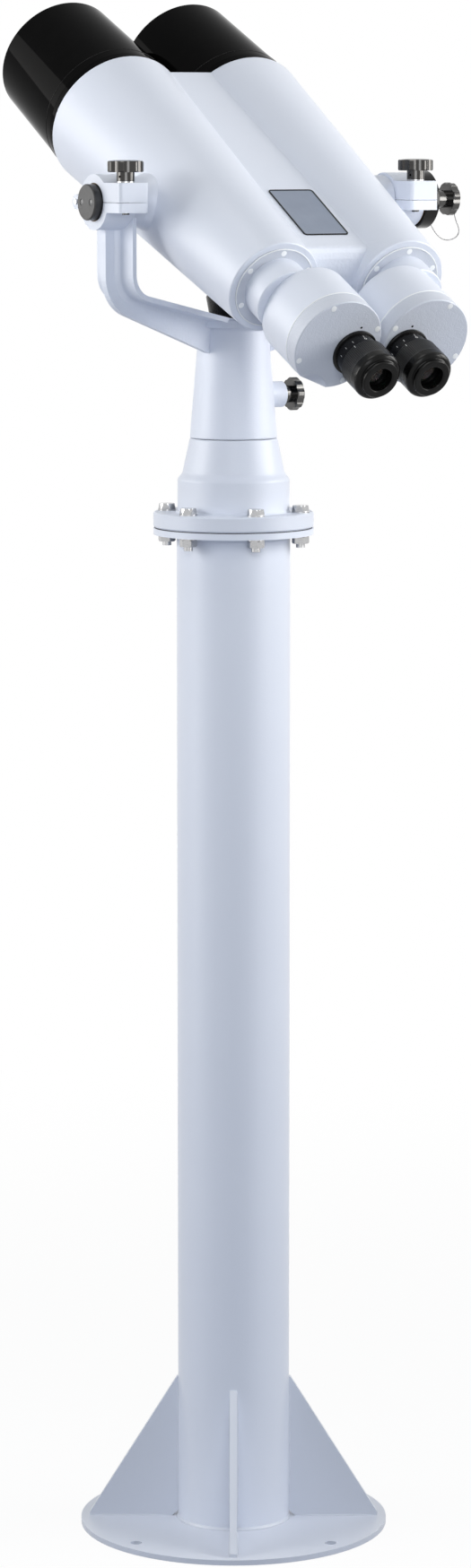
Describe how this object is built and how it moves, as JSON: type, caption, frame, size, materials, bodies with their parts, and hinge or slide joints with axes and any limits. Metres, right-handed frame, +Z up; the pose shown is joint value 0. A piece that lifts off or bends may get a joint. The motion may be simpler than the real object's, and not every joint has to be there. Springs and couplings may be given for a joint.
{
  "type": "giant binoculars",
  "caption": "Pillar-mounted giant binoculars: parallel white barrels with black hoods tilt in a cast fork that turns on a bolted pedestal head.",
  "frame": {"origin": "centre of the base plate's underside, on the azimuth axis", "axes": "+Z up the pillar; +X along the trunnions to the observer's right; +Y the way the barrels point at rest"},
  "size_m": [0.4816, 0.6499, 1.7277],
  "materials": {
    "white_steel": "textured paint",
    "white_casting": "textured paint",
    "bare_steel": "bright",
    "dark_chrome": "polished",
    "black_gloss": "gloss lacquer",
    "black_satin": "satin anodised",
    "black_rubber": "matt",
    "coated_glass": "coated",
    "plate_metal": "anodised",
    "bearing_bronze": "oiled",
    "friction_fibre": "matt"
  },
  "bodies": {
    "base": {"base_plate": "white_steel", "gussets": "white_steel", "pillar_tube": "white_steel", "pillar_flange": "white_steel", "flange_gasket": "black_rubber", "pedestal_head": "white_casting", "flange_bolts": "bare_steel", "flange_washers": "bare_steel", "flange_nuts": "bare_steel", "azimuth_spindle": "bare_steel", "lower_bearing": "bare_steel", "upper_bearing": "bare_steel", "spindle_nut": "bare_steel"},
    "fork": {"fork": "white_casting", "hub_cap": "black_satin", "dust_seal": "black_rubber", "clamp_cap_left": "white_casting", "clamp_cap_right": "white_casting", "clamp_hinge_pins": "bare_steel", "trunnion_bushes": "bearing_bronze"},
    "clamp_left": {"clamp_washer_left": "bare_steel"},
    "clamp_right": {"clamp_washer_right": "bare_steel"},
    "clamp_screw_left": {"clamp_screw_left": "dark_chrome"},
    "clamp_screw_right": {"clamp_screw_right": "dark_chrome"},
    "azimuth_lock": {"azimuth_brake_pad": "bare_steel"},
    "azimuth_lock_screw": {"azimuth_lock_knob": "dark_chrome"},
    "binocular": {"body_casting": "white_casting", "trunnion_left": "dark_chrome", "trunnion_right": "dark_chrome", "brake_disc": "black_satin", "friction_washer": "friction_fibre", "hood_left": "black_gloss", "hood_right": "black_gloss", "objective_cells": "black_gloss", "objective_lenses": "coated_glass", "barrel_baffles": "black_satin", "retaining_rings": "white_casting", "retaining_screws": "white_casting", "nameplate": "plate_metal"},
    "tilt_lock": {"lanyard_swivel": "bare_steel", "lock_lanyard": "bare_steel"},
    "tilt_lock_screw": {"tilt_lock_knob": "dark_chrome"},
    "prism_left": {"prism_housing_left": "white_casting", "prism_cap_left": "white_casting", "cap_screws_left": "white_casting", "prisms_left": "coated_glass", "eyepiece_base_left": "black_satin"},
    "prism_right": {"prism_housing_right": "white_casting", "prism_cap_right": "white_casting", "cap_screws_right": "white_casting", "prisms_right": "coated_glass", "eyepiece_base_right": "black_satin"},
    "eyepiece_left": {"eyepiece_cell_left": "black_satin", "eye_lens_left": "coated_glass"},
    "eyepiece_right": {"eyepiece_cell_right": "black_satin", "eye_lens_right": "coated_glass"},
    "focus_left": {"focus_ring_left": "black_satin", "eyecup_left": "black_rubber"},
    "focus_right": {"focus_ring_right": "black_satin", "eyecup_right": "black_rubber"}
  },
  "joints": [
    {"name": "azimuth", "type": "hinge", "parent": "base", "child": "fork", "pos_m": [0, 0, 1.3], "axis": [0, 0, 1], "continuous": true},
    {"name": "elevation", "type": "hinge", "parent": "fork", "child": "binocular", "pos_m": [0, -0.0464, 1.508], "axis": [1, 0, 0], "range_deg": [-52, 25]},
    {"name": "ipd_left", "type": "hinge", "parent": "binocular", "child": "prism_left", "pos_m": [-0.079, -0.2238, 1.41565], "axis": [0, 0.887, 0.4617], "range_deg": [-17, 15]},
    {"name": "ipd_right", "type": "hinge", "parent": "binocular", "child": "prism_right", "pos_m": [0.079, -0.2238, 1.41565], "axis": [0, 0.887, 0.4617], "range_deg": [-17, 17]},
    {"name": "azimuth_lock_turn", "type": "hinge", "parent": "azimuth_lock", "child": "azimuth_lock_screw", "pos_m": [0.06, 0, 1.292], "axis": [1, 0, 0], "range_deg": [0, 541]},
    {"name": "azimuth_lock_travel", "type": "slide", "parent": "fork", "child": "azimuth_lock", "axis": [1, 0, 0], "range_m": [0, 0.003]},
    {"name": "clamp_left_turn", "type": "hinge", "parent": "clamp_left", "child": "clamp_screw_left", "pos_m": [-0.185, -0.0844, 1.528], "axis": [0, 0, 1], "range_deg": [0, 721]},
    {"name": "clamp_left_travel", "type": "slide", "parent": "fork", "child": "clamp_left", "axis": [0, 0, 1], "range_m": [0, 0.003]},
    {"name": "clamp_right_turn", "type": "hinge", "parent": "clamp_right", "child": "clamp_screw_right", "pos_m": [0.185, -0.0844, 1.528], "axis": [0, 0, 1], "range_deg": [0, 721]},
    {"name": "clamp_right_travel", "type": "slide", "parent": "fork", "child": "clamp_right", "axis": [0, 0, 1], "range_m": [0, 0.003]},
    {"name": "tilt_lock_turn", "type": "hinge", "parent": "tilt_lock", "child": "tilt_lock_screw", "pos_m": [0.23, -0.0464, 1.508], "axis": [1, 0, 0], "range_deg": [0, 541]},
    {"name": "tilt_lock_travel", "type": "slide", "parent": "binocular", "child": "tilt_lock", "axis": [1, 0, 0], "range_m": [0, 0.003]},
    {"name": "focus_left_turn", "type": "hinge", "parent": "eyepiece_left", "child": "focus_left", "pos_m": [-0.03188, -0.3301, 1.33831], "axis": [0, 0.887, 0.4617], "range_deg": [-121, 121]},
    {"name": "focus_left_travel", "type": "slide", "parent": "prism_left", "child": "eyepiece_left", "axis": [0, 0.887, 0.4617], "range_m": [-0.0025, 0.0025]},
    {"name": "focus_right_turn", "type": "hinge", "parent": "eyepiece_right", "child": "focus_right", "pos_m": [0.03188, -0.3301, 1.33831], "axis": [0, 0.887, 0.4617], "range_deg": [-121, 121]},
    {"name": "focus_right_travel", "type": "slide", "parent": "prism_right", "child": "eyepiece_right", "axis": [0, 0.887, 0.4617], "range_m": [-0.0025, 0.0025]}
  ],
  "couplings": [
    {"joint": "azimuth_lock_turn", "follows": "azimuth_lock_travel", "rad_per_m": 3141.6},
    {"joint": "clamp_left_turn", "follows": "clamp_left_travel", "rad_per_m": 4188.8},
    {"joint": "clamp_right_turn", "follows": "clamp_right_travel", "rad_per_m": 4188.8},
    {"joint": "tilt_lock_turn", "follows": "tilt_lock_travel", "rad_per_m": 3141.6},
    {"joint": "focus_left_turn", "follows": "focus_left_travel", "rad_per_m": 837.76},
    {"joint": "focus_right_turn", "follows": "focus_right_travel", "rad_per_m": 837.76},
    {"joint": "ipd_right", "follows": "ipd_left", "ratio": -1}
  ]
}
